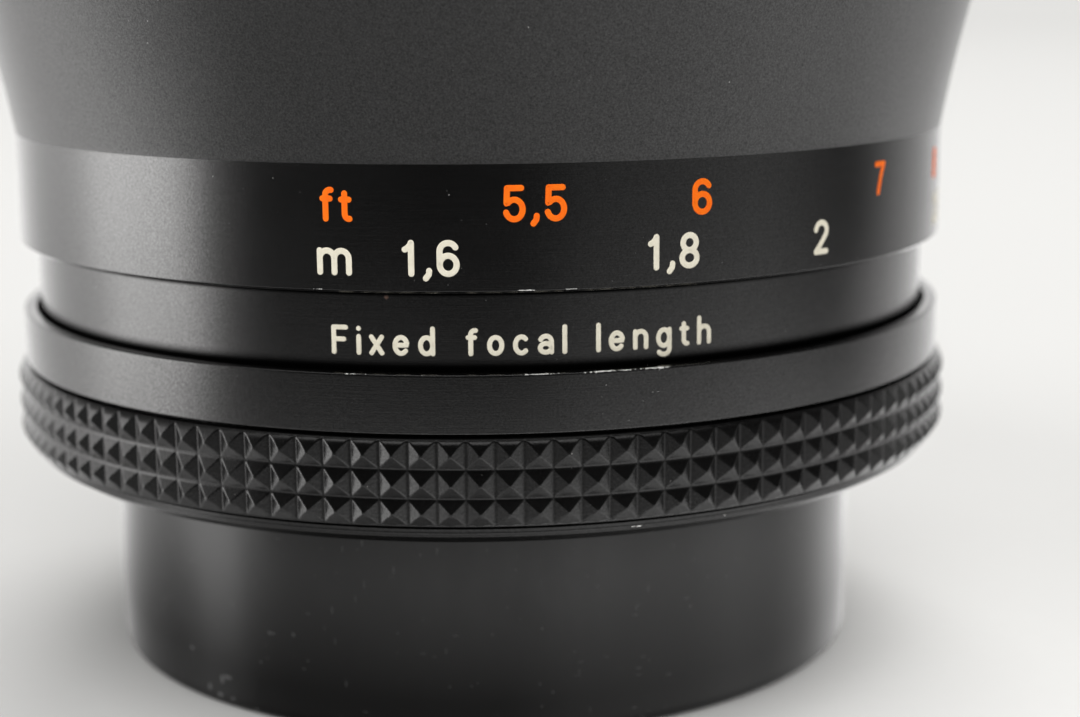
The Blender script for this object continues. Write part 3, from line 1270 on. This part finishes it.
def floor_paper():
    """Matt paper that reflections see as a glow, by direction and distance from the axis."""
    material, net = new_material("floor_paper")
    position = net.in_mm(net.add("ShaderNodeNewGeometry", output="Position"))
    x, y, _ = net.separate(position)
    incoming = net.separate(net.add("ShaderNodeNewGeometry", output="Incoming"))
    heading = azimuth(net, incoming[0] * -1.0, incoming[1] * -1.0)
    far, near, close = (brightness(net, heading, table) for table in (FAR, NEAR, CLOSE))
    distance = net.math("SQRT", x * x + y * y)
    turn = (heading - 0.5) * (2 * PI)
    right = net.maximum(net.math("SINE", turn), 0.0)
    behind = net.maximum(net.math("COSINE", turn) * -1.0, 0.0)
    left = net.maximum(net.math("SINE", turn) * -1.0, 0.0)

    # the paper darkens towards the foot of the lens
    deep = 0.17 + (right * 0.32 + behind * 0.3)
    close = close * (deep + (1.0 - deep) * net.span(distance, (31.0, 55.0)))
    # a low reflection travels to the far paper and the room
    share = net.span(incoming[2], (0.225, 0.30), smooth=True)
    far = far * (1.0 - left * net.span(distance, (150.0, 340.0), (0.28, 0.0)))
    fade = net.math("POWER", 120.0 / net.maximum(distance, 120.0), 2.5)
    far = far + (0.11 + right * 0.20) * fade
    inner = net.span(distance, (58.0, 92.0), (1.0, 0.0), smooth=True)
    near = near * (1.0 - inner) + close * inner
    seen = far * (1.0 - share) + near * share

    # the paper's own tone: darker far off, a little lighter round the lens
    fibre = net.noise(position, scale=0.6, detail=5.0, rough=0.6)
    tone = (0.570 + fibre * 0.02) * net.span(distance, (250.0, 1300.0), (1.0, 0.85))
    tone = tone * (1.0 + net.span(distance, (30.0, 75.0), (1.0, 0.0), smooth=True)
                   * net.span(x, (-30.0, 20.0), (0.04, 0.19)))
    paper = net.add("ShaderNodeBsdfDiffuse", {
        "Color": net.combine(tone, tone * 0.997, tone * 0.988),
        "Normal": net.bump(fibre, strength=0.15, depth=0.0001)})
    glow = net.add("ShaderNodeEmission", {"Color": (*WARM, 1.0), "Strength": seen})
    is_glossy = net.add("ShaderNodeLightPath", output="Is Glossy Ray")
    net.finish(net.add("ShaderNodeMixShader", {0: is_glossy, 1: paper, 2: glow}))
    return material


def build_floor(half=4):
    """A square of paper; half its side is in metres."""
    mesh = bpy.data.meshes.new("floor")
    corners = [(-half, -half, 0), (half, -half, 0), (half, half, 0), (-half, half, 0)]
    mesh.from_pydata(corners, [], [(0, 1, 2, 3)])
    floor = bpy.data.objects.new("floor", mesh)
    bpy.context.scene.collection.objects.link(floor)
    # the paper stays under the cap when the cap is drawn off downwards
    floor.parent = frame["bodies"]["rear_cap"]
    mesh.materials.append(floor_paper())


def soft_sun(name, direction, irradiance, angle, colour):
    """A far, very large source from this direction, hidden from reflections."""
    data = bpy.data.lights.new(name, "SUN")
    data.energy = irradiance
    data.angle = math.radians(angle)
    data.color = colour
    sun = bpy.data.objects.new(name, data)
    sun.rotation_euler = (-Vector(direction)).to_track_quat("-Z", "Y").to_euler()
    sun.visible_glossy = False
    bpy.context.scene.collection.objects.link(sun)


build_world()
build_floor()
soft_sun("key", (0.40, 0.85, 1.0), irradiance=2.2, angle=55, colour=(1.0, 0.99, 0.97))
soft_sun("fill", (0.06, -0.45, 1.0), irradiance=2.2, angle=60, colour=(1.0, 0.995, 0.98))
soft_sun("left_card", (-1.0, -0.05, 0.34), irradiance=1.6, angle=60, colour=(1.0, 0.995, 0.985))
soft_sun("front_card", (0.0, -1.0, 0.3), irradiance=0.6, angle=60, colour=(1.0, 0.995, 0.985))

# ============================================================ camera

FOCUS_POINT = (-0.0015, -0.0312, 0.030)      # metres
CAMERA_PLACE = (0, -139.11, 45.84)           # before the turn about Z
CAMERA_TURN = math.radians(-4.55)
YAW, PITCH = math.radians(1.635), math.radians(11.258)
ROLL = -0.0069                               # radians

focus = bpy.data.objects.new("focus_point", None)
focus.location = FOCUS_POINT
bpy.context.scene.collection.objects.link(focus)

lens = bpy.data.cameras.new("camera")
lens.sensor_width = 36.0
lens.lens = 66.89
lens.clip_start, lens.clip_end = 0.005, 20.0
lens.dof.use_dof = True
lens.dof.focus_object = focus
lens.dof.aperture_fstop = 30.0
camera = bpy.data.objects.new("camera", lens)
forward = Vector((math.sin(YAW) * math.cos(PITCH), math.cos(YAW) * math.cos(PITCH),
                  -math.sin(PITCH)))
right = forward.cross(Vector((0, 0, 1))).normalized()
up = right.cross(forward)
rolled_right = math.cos(ROLL) * right + math.sin(ROLL) * up
rolled_up = -math.sin(ROLL) * right + math.cos(ROLL) * up
about_z = Matrix.Rotation(CAMERA_TURN, 3, "Z")
axes = [about_z @ axis for axis in (rolled_right, rolled_up, -forward)]
place = about_z @ Vector(CAMERA_PLACE) * MM
camera.matrix_world = Matrix((*zip(*axes, place), (0, 0, 0, 1)))
bpy.context.scene.collection.objects.link(camera)
bpy.context.scene.camera = camera
bpy.context.scene.view_settings.view_transform = "Standard"
bpy.context.scene.view_settings.look = "None"
